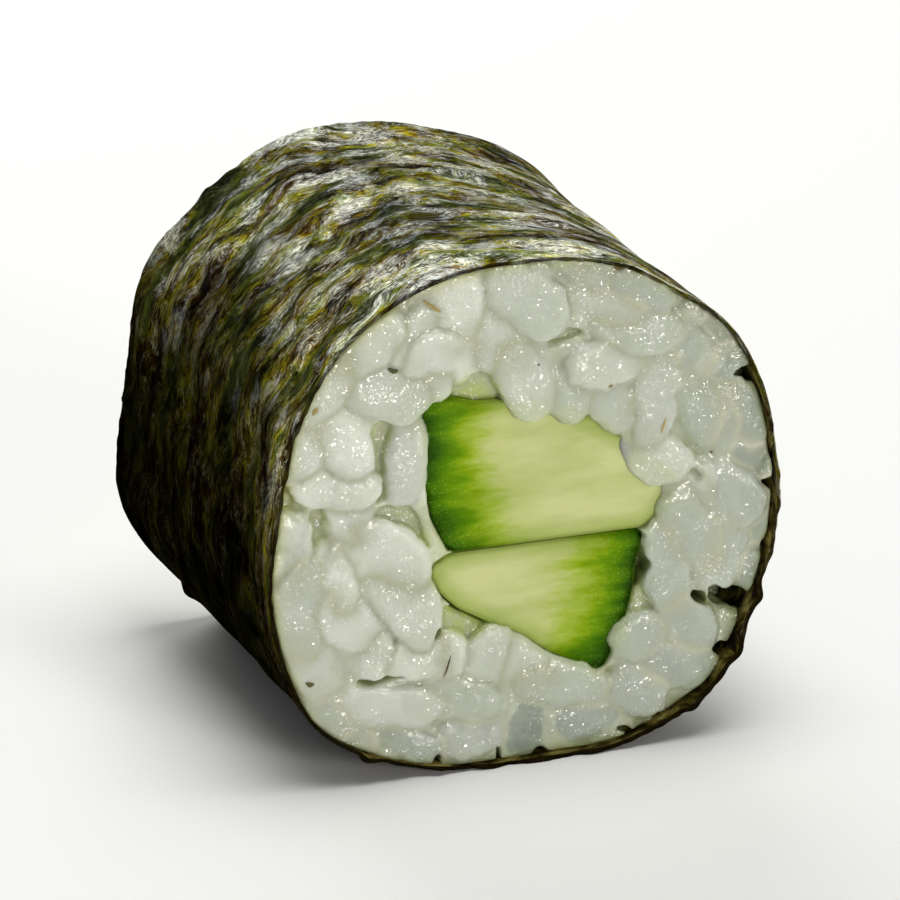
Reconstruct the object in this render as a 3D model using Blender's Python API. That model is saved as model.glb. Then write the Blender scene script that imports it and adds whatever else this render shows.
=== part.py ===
"""Cucumber maki: one short slice of a sushi roll, lying on its side.

A nori sheet is wrapped round a band of sushi rice, and two wedge-cut sticks of
cucumber run through the rice from end to end. The roll's axis is Y, the cut face
that is looked at is at -Y, and the wrap rests on a flat spot at z = 0.

Lengths are in millimetres until a mesh is made, which is in metres.
"""

import bpy
import numpy as np

# --- driving dimensions, in millimetres ---------------------------------------
ROLL_LENGTH = 25.0      # from cut face to cut face, along Y
NORI_THICKNESS = 0.4    # the moist sheet with its overlap
GAP = 0.3               # clearance kept between neighbouring pieces
WAIST = 0.3             # how far the wrap draws in between the two cut faces
WAIST_FOOT = 6.0        # height above the resting face where the waist is full
RICE_DENT = 0.5         # deepest dent of the rice against the nori
RICE_CROWN = 0.1        # how far the highest grains stay behind the nori's edge
RICE_RELIEF = 0.7       # depth from the highest grains to the gaps between them
GRAIN_PITCH = 3.2       # distance between neighbouring grains on a cut face
STICK_RECESS = 0.6      # how far the cucumber's ends stay behind the nori's edge
STICK_CLEARANCE = 0.48  # gap kept between a stick and the rice round it
RICE_CLEARANCE = 0.08   # more gap kept between the rice and the nori
STICK_DRIFT = (0.7, -0.4)   # sideways run of the sticks (x, z) from -Y to +Y
STICK_HEART = (0.6, 12.0)   # point between the sticks that the rice surrounds
SEED = 5
CENTRE_JITTER = 0.6     # how far a grain may lie from its place in even rows
CROWN_SHARE = 0.62      # share of the grain pitch at which a crown has fallen to a gap

# --- mesh resolution ----------------------------------------------------------
AROUND = 80             # points round the roll
STICK_AROUND = 56       # points round a stick
LENGTHWISE = 8          # steps along the roll
FACE_RINGS = 9          # steps across the rice on a cut face
STICK_FINE = 300        # points round a stick where the rice is fitted to it
SPLINE_FINE = 12        # spline points for each point round the roll
SHARP_ANGLE = 40.0      # degrees, above which an edge between faces stays crisp

MM = 0.001
ROW_SHARE = 0.87        # height of a hexagonal row as a share of its pitch

# Points (x, z) of the wrap's outer outline, from the top of the roll clockwise.
# Both outlines are flattened where the roll rests, and meet point for point.
FRONT_OUTLINE = [
    (0.3, 26.6), (4.7, 26.0), (7.8, 24.3), (10.9, 21.9), (12.6, 18.3),
    (13.5, 12.3), (12.4, 7.2), (10.4, 3.1), (7.2, 0.9), (3.6, 0.0),
    (-3.6, 0.0), (-7.4, 1.0), (-10.9, 3.0), (-12.7, 6.3), (-13.5, 10.3),
    (-13.0, 15.0), (-11.9, 19.8), (-9.1, 23.6), (-4.9, 26.0),
]
BACK_OUTLINE = [
    (0.3, 26.2), (4.2, 25.4), (7.9, 24.1), (10.7, 22.0), (12.5, 18.3),
    (13.3, 12.3), (12.3, 7.0), (10.3, 3.2), (7.4, 1.0), (3.6, 0.0),
    (-3.6, 0.0), (-8.0, 0.9), (-11.2, 3.6), (-13.1, 6.5), (-13.5, 9.6),
    (-12.9, 14.6), (-12.0, 19.1), (-9.0, 23.0), (-4.7, 25.8),
]

# Cross-sections (x, z) of the two sticks at the -Y face. Each is a wedge cut
# lengthwise from a cucumber about 30 across: one bowed side keeps its skin.
UPPER_STICK = [
    (-5.4, 19.3), (-4.6, 19.8), (-2.6, 19.2), (0.0, 19.0), (2.6, 18.3),
    (4.6, 16.9), (7.8, 14.2), (7.6, 13.0), (6.4, 11.8), (-3.9, 11.8),
    (-4.7, 13.4), (-5.1, 15.6), (-5.2, 17.6),
]
LOWER_STICK = [
    (-4.9, 10.9), (-4.2, 11.4), (6.2, 11.45), (5.8, 9.9), (5.6, 8.2),
    (5.1, 6.4), (3.9, 4.1), (3.2, 4.9), (1.4, 5.8), (0.0, 6.9),
    (-1.8, 7.8), (-3.5, 8.8), (-4.5, 9.8),
]

# --- colours, linear ----------------------------------------------------------
NORI_GREEN = (0.020, 0.026, 0.010)
RICE_WHITE = (0.60, 0.62, 0.55)
CUCUMBER_GREEN = (0.36, 0.50, 0.13)
NORI_ROUGHNESS = 0.35
RICE_ROUGHNESS = 0.4
CUCUMBER_ROUGHNESS = 0.3


def closed_spline(points, count):
    """A closed Catmull-Rom curve through the points, at count even parameters."""
    p = np.asarray(points, float)
    at = np.arange(count) * len(p) / count
    index = at.astype(int)
    t = (at - index)[:, None]
    a, b, c, d = (p[(index + k) % len(p)] for k in (-1, 0, 1, 2))
    return 0.5 * (2 * b + (c - a) * t + (2 * a - 5 * b + 4 * c - d) * t**2
                  + (3 * b - a - 3 * c + d) * t**3)


def even_polygon(points, count):
    """The closed polygon through the points, at count even distances."""
    p = np.asarray(points, float)
    step = np.linalg.norm(np.roll(p, -1, axis=0) - p, axis=1)
    length = np.concatenate(([0.0], np.cumsum(step)))
    at = np.arange(count) * length[-1] / count
    closed = np.vstack((p, p[:1]))
    return np.column_stack([np.interp(at, length, closed[:, k]) for k in (0, 1)])


def wrap_outline(share, count=AROUND):
    """The wrap's outer outline at a share of the length, 0 at -Y and 1 at +Y.

    It blends the two end outlines and draws in at mid-length, except at the foot.
    """
    fine = SPLINE_FINE * count
    ease = share * share * (3 - 2 * share)
    front, back = closed_spline(FRONT_OUTLINE, fine), closed_spline(BACK_OUTLINE, fine)
    line = front * (1 - ease) + back * ease
    line[:, 1] = np.maximum(line[:, 1], 0.0)
    line = even_polygon(line, count)
    draw_in = WAIST * np.sin(np.pi * share) * np.clip(line[:, 1] / WAIST_FOOT, 0, 1)
    return line - outward(line) * draw_in[:, None]


def outward(line):
    """Unit normals of a clockwise closed outline, pointing out of it."""
    along = np.roll(line, -1, axis=0) - np.roll(line, 1, axis=0)
    normal = np.column_stack((-along[:, 1], along[:, 0]))
    return normal / np.linalg.norm(normal, axis=1)[:, None]


def spread_centres():
    """Jittered hexagonal grid of grain centres (x, z) over a cut face."""
    rng = np.random.default_rng(SEED)
    row = GRAIN_PITCH * ROW_SHARE
    tallest = max(z for _, z in FRONT_OUTLINE) + GRAIN_PITCH
    widest = max(x for x, _ in FRONT_OUTLINE) + GRAIN_PITCH
    grid = [(x + 0.5 * GRAIN_PITCH * (j % 2), j * row)
            for j in range(int(tallest / row)) for x in np.arange(-widest, widest, GRAIN_PITCH)]
    return np.array(grid) + rng.uniform(-CENTRE_JITTER, CENTRE_JITTER, (len(grid), 2))


def grain_relief(x, z, centres):
    """0 on the crown of a grain, 1 in the gap between grains."""
    away = np.min(np.hypot(x[..., None] - centres[:, 0], z[..., None] - centres[:, 1]), axis=-1)
    return np.clip(away / (CROWN_SHARE * GRAIN_PITCH), 0, 1) ** 2


def grown_radius(angles, outlines, reach):
    """Radius round the heart, at each angle, of the outlines grown by reach.

    A ray meets the disc of radius reach round a point at its distance along the
    ray plus the half chord, and the farthest such meeting is the grown outline.
    """
    ray = np.column_stack((np.sin(angles), np.cos(angles)))
    point = np.vstack(outlines) - STICK_HEART
    along = ray @ point.T
    across2 = np.sum(point**2, axis=1) - along**2
    hit = along + np.sqrt(np.clip(reach**2 - across2, 0, None))
    return np.max(np.where((across2 < reach**2) & (along > 0), hit, 0.0), axis=1)


def ray_radius(angles, line):
    """Radius round the heart, at each angle, of a star-shaped closed outline."""
    point = line - STICK_HEART
    bearing = np.arctan2(point[:, 0], point[:, 1])
    order = np.argsort(bearing)
    return np.interp(angles, bearing[order], np.hypot(*point.T)[order], period=2 * np.pi)


def grid_faces(rows, columns, closed_rows):
    """Quads of a grid whose columns close on themselves, and its rows too if asked."""
    i = np.arange(rows if closed_rows else rows - 1)[:, None]
    j = np.arange(columns)[None, :]
    below, right = (i + 1) % rows, (j + 1) % columns
    corners = (i * columns + j, i * columns + right, below * columns + right, below * columns + j)
    return np.stack(np.broadcast_arrays(*corners), axis=-1).reshape(-1, 4)


def make_piece(name, points, faces, material):
    """A mesh object from points in millimetres, with smooth sides and crisp cut edges."""
    mesh = bpy.data.meshes.new(name)
    places = np.asarray(points).reshape(-1, 3) * MM
    mesh.from_pydata(places.tolist(), [], [list(f) for f in faces])
    mesh.validate()
    mesh.materials.append(material)
    mesh.shade_smooth()
    mesh.set_sharp_from_angle(angle=np.radians(SHARP_ANGLE))
    piece = bpy.data.objects.new(name, mesh)
    bpy.context.scene.collection.objects.link(piece)
    return piece


def plain_material(name, colour, roughness):
    """A Principled material of one colour."""
    material = bpy.data.materials.new(name)
    material.use_nodes = True
    shader = material.node_tree.nodes["Principled BSDF"]
    shader.inputs["Base Color"].default_value = (*colour, 1.0)
    shader.inputs["Roughness"].default_value = roughness
    shader.inputs["Metallic"].default_value = 0.0
    return material


def at_length(line, share):
    """Outline points (x, z) placed along the roll, as (x, y, z)."""
    y = np.full(len(line), (share - 0.5) * ROLL_LENGTH)
    return np.column_stack((line[:, 0], y, line[:, 1]))


def make_nori_wrap():
    """The nori: a tube whose wall runs out along the outside and back along the inside."""
    loop = []
    for share in np.linspace(0, 1, LENGTHWISE + 1):
        loop.append(at_length(wrap_outline(share), share))
    for share in np.linspace(1, 0, LENGTHWISE + 1):
        line = wrap_outline(share)
        loop.append(at_length(line - outward(line) * NORI_THICKNESS, share))
    faces = grid_faces(len(loop), AROUND, closed_rows=True)
    nori = plain_material("toasted_nori", NORI_GREEN, NORI_ROUGHNESS)
    return make_piece("nori_wrap", loop, faces, nori)


def drift(share):
    """How far the sticks have run sideways (x, z) at a share of the length."""
    return np.array(STICK_DRIFT) * share


def make_rice():
    """The rice: a band between nori and sticks, uneven outside and on both cut faces."""
    angles = np.arange(AROUND) * 2 * np.pi / AROUND
    centres = spread_centres()
    sticks = [even_polygon(s, STICK_FINE) for s in (UPPER_STICK, LOWER_STICK)]
    girth = max(x for x, _ in FRONT_OUTLINE)

    def radii(share):
        outline = wrap_outline(share, 4 * AROUND)
        inner = outline - outward(outline) * (NORI_THICKNESS + GAP)
        around = grain_relief(angles * girth, np.full(AROUND, share * ROLL_LENGTH), centres)
        outer = ray_radius(angles, inner) - RICE_CLEARANCE - RICE_DENT * around
        hole = grown_radius(angles, [s + drift(share) for s in sticks], STICK_CLEARANCE)
        return hole, outer

    def ring(radius, share, end):
        x = STICK_HEART[0] + radius * np.sin(angles)
        z = STICK_HEART[1] + radius * np.cos(angles)
        y = np.full(AROUND, (share - 0.5) * ROLL_LENGTH)
        if end:
            y -= end * (RICE_CROWN + RICE_RELIEF * grain_relief(x, z, centres * (end, 1)))
        return np.column_stack((x, y, z))

    loop = []
    for share in np.linspace(0, 1, LENGTHWISE + 1):
        loop.append(ring(radii(share)[1], share, {0: -1, 1: 1}.get(share, 0)))
    hole, outer = radii(1)
    for across in np.linspace(0, 1, FACE_RINGS + 1)[1:]:
        loop.append(ring(outer + (hole - outer) * across, 1, 1))
    for share in np.linspace(1, 0, LENGTHWISE + 1)[1:]:
        loop.append(ring(radii(share)[0], share, {0: -1}.get(share, 0)))
    hole, outer = radii(0)
    for across in np.linspace(0, 1, FACE_RINGS + 1)[1:-1]:
        loop.append(ring(hole + (outer - hole) * across, 0, -1))
    faces = grid_faces(len(loop), AROUND, closed_rows=True)
    rice = plain_material("cooked_rice", RICE_WHITE, RICE_ROUGHNESS)
    return make_piece("rice", loop, faces, rice)


def make_stick(name, section, material):
    """A cucumber stick: its wedge section carried along the roll, with flat cut ends."""
    outline = even_polygon(section, STICK_AROUND)
    inset = STICK_RECESS / ROLL_LENGTH
    shares = np.linspace(inset, 1 - inset, LENGTHWISE + 1)
    rows = [at_length(outline + drift(share), share) for share in shares]
    faces = [tuple(f) for f in grid_faces(len(rows), STICK_AROUND, closed_rows=False)]
    last = (len(rows) - 1) * STICK_AROUND
    faces.append(tuple(range(STICK_AROUND - 1, -1, -1)))
    faces.append(tuple(range(last, last + STICK_AROUND)))
    return make_piece(name, rows, faces, material)


def build():
    """Clears the scene and makes the four pieces of the roll."""
    for old in list(bpy.data.objects):
        bpy.data.objects.remove(old)
    make_nori_wrap()
    make_rice()
    cucumber = plain_material("fresh_cucumber", CUCUMBER_GREEN, CUCUMBER_ROUGHNESS)
    make_stick("cucumber_upper", UPPER_STICK, cucumber)
    make_stick("cucumber_lower", LOWER_STICK, cucumber)


build()
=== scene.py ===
"""Looks of a cucumber maki roll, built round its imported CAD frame.

The nori wrap is a closed shell with fibres, dents and a ragged cut edge. The rice is
a slab of single cooked grains at each cut face with a plain core between them. The
two cucumber sticks keep their green skin on one side. The roll's axis is Y and the
cut face that is looked at is at -Y. Lengths are in millimetres until a mesh is made.
"""

import bpy
import numpy as np
from mathutils import Matrix, Vector
from mathutils.geometry import delaunay_2d_cdt


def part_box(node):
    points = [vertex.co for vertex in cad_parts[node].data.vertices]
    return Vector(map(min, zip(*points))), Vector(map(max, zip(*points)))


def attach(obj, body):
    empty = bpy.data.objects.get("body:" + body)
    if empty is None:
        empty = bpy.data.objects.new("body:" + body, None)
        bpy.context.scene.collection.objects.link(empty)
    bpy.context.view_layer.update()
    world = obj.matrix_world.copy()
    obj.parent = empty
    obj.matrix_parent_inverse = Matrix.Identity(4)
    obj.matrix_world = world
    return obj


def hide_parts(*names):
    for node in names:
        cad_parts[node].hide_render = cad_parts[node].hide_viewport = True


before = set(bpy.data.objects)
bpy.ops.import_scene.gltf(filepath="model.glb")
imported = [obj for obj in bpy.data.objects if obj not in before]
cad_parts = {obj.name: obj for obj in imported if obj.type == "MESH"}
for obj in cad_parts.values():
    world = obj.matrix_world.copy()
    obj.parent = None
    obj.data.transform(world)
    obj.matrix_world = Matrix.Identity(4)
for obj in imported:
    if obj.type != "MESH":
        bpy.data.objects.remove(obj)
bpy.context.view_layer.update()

MM = 0.001
SEED = 11

# --- the frame, read in millimetres -------------------------------------------
FRONT_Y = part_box("nori_wrap")[0].y / MM
BACK_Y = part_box("nori_wrap")[1].y / MM
HEART = (0.0, 13.3)         # point (x, z) that the wrap is measured round

# --- nori ---------------------------------------------------------------------
NORI_THICKNESS = 0.2
NORI_FOLD = (-45.0, 40.0, 0.14)  # where the sheet lies double: middle and reach in degrees, extra mm
NORI_AROUND = 560
NORI_LENGTHWISE = 150
NORI_INNER_LENGTHWISE = 24

# --- rice ---------------------------------------------------------------------
CELL = 0.12                 # grid step of the rice's field
SLAB_DEPTH = 4.2            # how deep the grained part of the rice goes
CROWN = 0.1                 # how far the cut grains stay behind the nori's edge
FULLNESS = 1.06             # how much wider a grain is than the part that shows
SQUARENESS = 2.5            # power of a grain's outline, 2 for a plain ellipse
CUT_ROUNDING = 0.12         # radius left where the knife's plane meets a grain's side
STICK_CLEARANCE = -0.03
STICK_SWELL = 0.145         # how much fuller a stick is than its CAD solid, so that they touch
STICK_EASE = 0.02           # radius of a stick's cut edges
STICK_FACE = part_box("cucumber_upper")[0].y / MM - FRONT_Y   # how deep the sticks' ends lie
NORI_CLEARANCE = 0.03
GRAIN_TRIANGLES = 190_000

# Grains met by the front cut, each (x, z, length, width, turn in degrees, sink, clear):
# sink is how far its crown lies behind the cut, clear is 0 for milky and 1 for glassy.
FRONT_GRAINS = [
    (-3.8, 24.3, 4.8, 2.9, 80, 0.0, 0.0), (-0.1, 24.6, 5.4, 3.0, -47, 0.0, 0.0),
    (2.2, 25.1, 4.2, 2.3, 0, 0.25, 0.5), (4.4, 24.9, 3.4, 2.3, -35, 0.2, 0.2),
    (6.1, 24.2, 3.8, 2.3, -35, 0.08, 0.3), (7.9, 23.2, 2.8, 1.6, -28, 0.28, 0.5),
    (4.0, 23.3, 5.0, 2.4, -12, 0.1, 0.1), (5.7, 22.1, 5.2, 2.3, -10, 0.0, 0.0),
    (9.3, 22.2, 4.4, 1.8, -25, 0.28, 0.7), (8.6, 20.8, 3.8, 2.7, -60, 0.12, 0.25),
    (10.8, 21.0, 3.8, 2.0, -48, 0.22, 0.7), (10.7, 19.7, 3.4, 1.9, -15, 0.12, 0.45),
    (12.0, 17.0, 3.9, 2.1, -68, 0.12, 0.6), (11.9, 14.8, 3.8, 2.5, -42, 0.15, 0.7),
    (12.5, 11.8, 3.6, 1.8, 85, 0.2, 0.65), (12.1, 8.7, 3.2, 1.9, -70, 0.2, 0.7),
    (10.8, 5.6, 2.8, 1.9, 75, 0.5, 0.9),
    (6.9, 18.7, 5.4, 2.5, 84, 0.08, 0.1), (9.2, 17.7, 4.8, 2.6, -72, 0.18, 0.2),
    (6.9, 15.5, 4.6, 2.6, -38, 0.0, 0.0), (2.4, 19.4, 3.4, 2.7, 80, 0.0, 0.0),
    (-0.1, 20.4, 4.8, 2.9, -62, 0.02, 0.0), (4.6, 20.7, 5.2, 2.7, 10, 0.04, 0.0),
    (4.7, 18.4, 3.8, 2.4, -50, 0.1, 0.1), (10.5, 17.0, 4.2, 2.2, -80, 0.2, 0.4),
    (10.7, 13.2, 5.0, 3.0, -50, 0.0, 0.15), (7.6, 9.3, 5.4, 2.4, -75, 0.0, 0.15),
    (8.9, 11.2, 5.2, 2.7, -60, 0.03, 0.15), (10.4, 9.7, 4.6, 2.7, 75, 0.0, 0.15),
    (8.8, 13.0, 3.4, 2.4, -30, 0.25, 0.1),
    (6.2, 5.9, 3.2, 2.6, 20, 0.08, 0.2), (8.7, 6.2, 3.8, 2.8, -42, 0.05, 0.2),
    (8.3, 4.0, 4.6, 2.7, -15, 0.1, 0.4), (6.0, 3.0, 3.8, 2.7, -25, 0.08, 0.4),
    (8.4, 2.6, 4.0, 1.9, 20, 0.2, 0.6), (1.9, 3.9, 5.4, 2.4, -14, 0.04, 0.1),
    (3.4, 1.9, 4.4, 2.2, 8, 0.1, 0.55), (-0.1, 1.9, 3.2, 2.4, 82, 0.1, 0.9),
    (-2.8, 1.8, 3.6, 2.8, 10, 0.08, 0.35), (-6.4, 1.9, 4.8, 1.9, -20, 0.12, 0.5),
    (-7.1, 4.0, 5.8, 2.3, -8, 0.0, 0.1), (-3.7, 3.9, 5.0, 2.5, -12, 0.02, 0.05),
    (-10.6, 4.2, 4.2, 2.3, -52, 0.12, 0.35), (-9.3, 2.8, 3.6, 1.7, -35, 0.15, 0.5),
    (-8.0, 6.7, 2.7, 1.8, 80, 0.0, 0.0), (-11.9, 9.6, 5.6, 2.7, 85, 0.03, 0.1),
    (-11.3, 6.8, 4.6, 2.5, -65, 0.05, 0.15), (-7.6, 11.9, 5.8, 3.3, -30, 0.0, 0.0),
    (-6.3, 9.3, 5.2, 3.1, -55, 0.02, 0.0), (-5.4, 6.4, 3.8, 2.5, -10, 0.0, 0.0),
    (-4.1, 6.2, 2.6, 1.9, 70, 0.0, 0.0), (-2.1, 5.5, 4.1, 2.3, 75, 0.02, 0.0),
    (-0.2, 5.2, 4.2, 2.4, -40, 0.1, 0.05), (-12.2, 12.3, 4.2, 2.1, 86, 0.1, 0.2),
    (-10.0, 11.0, 4.2, 2.3, -76, 0.0, 0.0), (-9.4, 8.9, 4.0, 2.6, -40, 0.02, 0.05),
    (-9.9, 15.8, 4.7, 2.2, -6, 0.0, 0.0), (-9.2, 14.1, 3.4, 2.2, -60, 0.12, 0.05),
    (-9.4, 18.3, 4.6, 2.7, -72, 0.0, 0.0), (-6.2, 16.9, 4.9, 2.1, 84, 0.05, 0.15),
    (-11.3, 18.7, 4.4, 2.3, 78, 0.1, 0.1), (-10.5, 21.0, 4.6, 2.5, 50, 0.05, 0.05),
    (-8.4, 23.0, 4.6, 2.8, 35, 0.0, 0.0), (-7.4, 20.6, 4.8, 2.9, -20, 0.0, 0.0),
    (-5.6, 20.4, 3.4, 2.1, 15, 0.0, 0.0), (-4.3, 21.9, 4.4, 2.8, -5, 0.0, 0.0),
    (-1.6, 22.3, 4.2, 2.8, -40, 0.05, 0.0), (-6.4, 24.6, 3.8, 2.2, 32, 0.25, 0.2),
    (-5.8, 23.1, 3.4, 2.3, 60, 0.05, 0.0),
    (-2.6, 20.1, 4.6, 2.0, -5, 0.55, 0.3), (-7.5, 17.0, 4.0, 1.8, 84, 0.9, 0.3),
    (-6.8, 13.4, 4.2, 2.2, -35, 0.6, 0.2), (-10.9, 13.4, 4.0, 1.6, 85, 1.0, 0.3),
    (6.2, 7.7, 2.4, 1.6, 0, 0.8, 0.3), (2.2, 23.9, 3.0, 1.6, 70, 0.5, 0.3),
    (1.7, 22.1, 3.0, 1.6, 10, 0.5, 0.3), (6.7, 20.6, 2.6, 1.6, -60, 0.6, 0.3),
]

# Small lumps on the nori, each (angle in degrees, y, height, reach).
NORI_LUMPS = [
    (129, 12.1, 0.3, 0.4), (-178.5, 11.9, 0.25, 0.4), (-149, 7.7, 0.28, 0.6), (-143, 5.4, 0.3, 0.5),
    (-26, -12.3, 0.35, 0.5), (-37.5, -12.3, 0.4, 0.45), (-52, -12.3, 0.25, 0.4), (-125, -12.2, 0.35, 0.45),
    (-16, -12.2, 0.2, 0.5), (166, -2.0, 0.15, 0.8), (150, 4.0, 0.15, 1.0),
]

# Open wells between the front grains, each (x, z, half width, half height, turn, depth).
FRONT_WELLS = [
    (11.8, 18.9, 0.9, 0.3, -25, 1.8), (13.1, 13.2, 0.6, 0.3, 10, 1.5), (13.0, 9.9, 0.35, 0.25, 0, 1.4),
    (11.3, 7.1, 1.5, 0.6, -25, 3.2), (9.4, 7.4, 0.7, 0.22, -28, 2.4), (10.6, 4.3, 0.6, 0.35, -30, 2.6),
    (0.9, 0.35, 0.4, 0.45, 20, 2.0), (-1.3, 0.6, 0.14, 0.5, 15, 1.6), (5.3, 0.9, 0.5, 0.2, -30, 1.6),
    (7.5, 1.3, 0.5, 0.25, -20, 1.6), (-4.7, 0.6, 0.2, 0.5, -25, 1.8), (9.6, 23.0, 0.9, 0.25, -35, 1.8),
    (-7.7, 5.45, 1.25, 0.16, -4, 1.2), (-4.6, 7.45, 0.2, 0.26, 20, 1.2),
    (6.0, 9.8, 0.5, 1.3, 8, 2.0), (-12.3, 15.4, 0.35, 0.4, 30, 0.9),
]

# Scraps on the cut rice, each (x, z, length, width, turn, tint: 0 green, 0.5 brown, 1 tan).
FRONT_FLECKS = [
    (-7.0, 21.6, 0.6, 0.26, -20, 0.1), (-4.9, 24.6, 1.1, 0.2, -36, 0.85), (7.2, 17.0, 0.9, 0.12, 70, 0.9),
    (-4.2, 5.8, 1.2, 0.08, 70, 0.45), (4.8, 25.5, 0.6, 0.3, -15, 0.6), (4.3, 19.5, 0.25, 0.2, 0, 0.7),
    (-11.4, 5.8, 0.5, 0.3, -30, 0.3), (-11.0, 20.0, 0.5, 0.22, 55, 0.8), (0.6, 21.0, 0.12, 0.1, 0, 0.5), (9.9, 15.2, 0.14, 0.1, 30, 0.6),
]

# Sunken spots of the front rice beside the sticks, where green light from the cucumber is painted, each (x, z, half
# width, half height).
PAINTED_GREEN_SPOTS = [(-5.0, 11.6, 1.2, 2.2), (-2.6, 20.0, 1.9, 0.8), (-3.2, 7.7, 1.4, 0.9)]

# Places where the second layer of grains is missing, so that deeper ones show.
FRONT_HOLLOWS = [
    (-2.6, 20.1, 2.3, 0.9, -5), (-7.5, 17.0, 2.0, 0.8, 84), (-6.6, 13.3, 1.6, 0.9, -40),
    (-12.1, 15.5, 1.0, 0.7, 0), (-10.9, 13.4, 2.0, 0.6, 85), (-3.2, 7.7, 1.6, 0.9, -30),
    (6.0, 9.4, 0.8, 1.6, 8), (6.2, 7.7, 1.2, 0.8, 0), (8.6, 14.2, 0.6, 0.6, 0),
    (2.1, 23.9, 0.8, 0.35, 70), (1.7, 22.3, 1.2, 0.35, 10), (6.7, 20.6, 0.35, 0.8, -20),
    (11.3, 7.2, 1.8, 0.9, -25), (11.6, 18.8, 0.9, 0.5, -25), (4.8, 4.0, 0.7, 0.4, -20),
    (-7.5, 5.4, 1.2, 0.2, -4), (-1.1, 24.3, 0.25, 0.7, 25),
]


def linear(code):
    """An sRGB hex colour as linear RGBA."""
    part = np.array([int(code[k:k + 2], 16) for k in (0, 2, 4)]) / 255
    value = np.where(part <= 0.04045, part / 12.92, ((part + 0.055) / 1.055) ** 2.4)
    return (*value.tolist(), 1.0)


# --- arrays -------------------------------------------------------------------
def read_points(name):
    """Distinct vertices (x, y, z) of a CAD node, in millimetres."""
    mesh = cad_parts[name].data
    flat = np.empty(len(mesh.vertices) * 3, np.float32)
    mesh.vertices.foreach_get("co", flat)
    return np.unique(np.round(flat.reshape(-1, 3) / MM, 3).astype(float), axis=0)


def read_wrap(around=360, harmonics=16):
    """Outer radius of the wrap round the heart: a table of stations along Y and angles.

    Each station holds an outer and an inner ring of points. A Fourier series fitted to
    both runs between them, so the points beyond it are the outer ones.
    """
    point = read_points("nori_wrap")
    stations = np.unique(np.round(point[:, 1], 2))
    angle = np.arange(around) * 2 * np.pi / around
    turns = np.arange(1, harmonics + 1)
    table = []
    for station in stations:
        ring = point[np.abs(point[:, 1] - station) < 0.02]
        x, z = ring[:, 0] - HEART[0], ring[:, 2] - HEART[1]
        bearing, radius = np.arctan2(z, x), np.hypot(x, z)
        terms = np.hstack((np.ones((len(ring), 1)), np.cos(bearing[:, None] * turns),
                           np.sin(bearing[:, None] * turns)))
        middle = terms @ np.linalg.lstsq(terms, radius, rcond=None)[0]
        outer = radius > middle
        order = np.argsort(bearing[outer])
        table.append(np.interp(angle, bearing[outer][order], radius[outer][order],
                               period=2 * np.pi))
    table = np.array(table)
    for _ in range(6):
        table = 0.5 * table + 0.25 * (np.roll(table, 1, axis=1) + np.roll(table, -1, axis=1))
    return stations, table


WRAP_STATIONS, WRAP_TABLE = read_wrap()


def wrap_radius(angle, y):
    """The wrap's outer radius at angles and places along Y, by cubic weights along Y."""
    count = WRAP_TABLE.shape[1]
    at = np.mod(angle, 2 * np.pi) / (2 * np.pi) * count
    low = np.floor(at).astype(int) % count
    share = at - np.floor(at)
    step = WRAP_STATIONS[1] - WRAP_STATIONS[0]
    along = np.clip((y - WRAP_STATIONS[0]) / step, 0, len(WRAP_STATIONS) - 1 - 1e-6)
    row = along.astype(int)
    t = along - row
    weights = (0.5 * (-t**3 + 2 * t**2 - t), 0.5 * (3 * t**3 - 5 * t**2 + 2),
               0.5 * (-3 * t**3 + 4 * t**2 + t), 0.5 * (t**3 - t**2))
    total = 0.0
    for k, weight in enumerate(weights):
        line = np.clip(row + k - 1, 0, len(WRAP_STATIONS) - 1)
        total = total + weight * (WRAP_TABLE[line, low] * (1 - share)
                                  + WRAP_TABLE[line, (low + 1) % count] * share)
    return total


def sheet_thickness(angle):
    """The nori's thickness: even, but thicker where a fold of it lies double."""
    middle, reach, extra = NORI_FOLD
    off = np.degrees(np.angle(np.exp(1j * (angle - np.radians(middle)))))
    return NORI_THICKNESS + extra * np.exp(-(off / reach)**2) * (1 + 0.25 * np.sin(9 * angle) * np.sin(23 * angle))


def read_section(name, end, count=160, blur=0.09):
    """A stick's outline (x, z) at one end, anticlockwise, at even distances, corners eased."""
    point = read_points(name)
    y = point[:, 1]
    ring = point[np.abs(y - (y.min() if end < 0 else y.max())) < 0.02][:, [0, 2]]
    centre = 0.5 * (ring.min(0) + ring.max(0))
    ring = ring[np.argsort(np.arctan2(*(ring - centre).T[::-1]))]
    closed = np.vstack((ring, ring[:1]))
    length = np.concatenate(([0.0], np.cumsum(np.linalg.norm(np.diff(closed, axis=0), axis=1))))
    at = np.arange(count) * length[-1] / count
    even = np.column_stack([np.interp(at, length, closed[:, k]) for k in (0, 1)])
    waves = np.fft.fftfreq(count, length[-1] / count) * 2 * np.pi
    soft = np.fft.ifft(np.fft.fft(even, axis=0) * np.exp(-0.5 * (waves[:, None] * blur) ** 2), axis=0).real
    run = np.roll(soft, -1, axis=0) - np.roll(soft, 1, axis=0)
    outward = np.column_stack((run[:, 1], -run[:, 0])) / np.linalg.norm(run, axis=1)[:, None]
    return soft + STICK_SWELL * outward


def lattice_weights(axis, cell):
    """Cubic B-spline weights that blend values set every cell mm along an axis."""
    at = (axis - axis[0]) / cell
    low = at.astype(int)
    t = at - low
    parts = ((1 - t)**3 / 6, (3 * t**3 - 6 * t**2 + 4) / 6,
             (-3 * t**3 + 3 * t**2 + 3 * t + 1) / 6, t**3 / 6)
    weights = np.zeros((len(axis), low.max() + 4))
    for k, part in enumerate(parts):
        weights[np.arange(len(axis)), low + k] = part
    return weights


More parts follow.
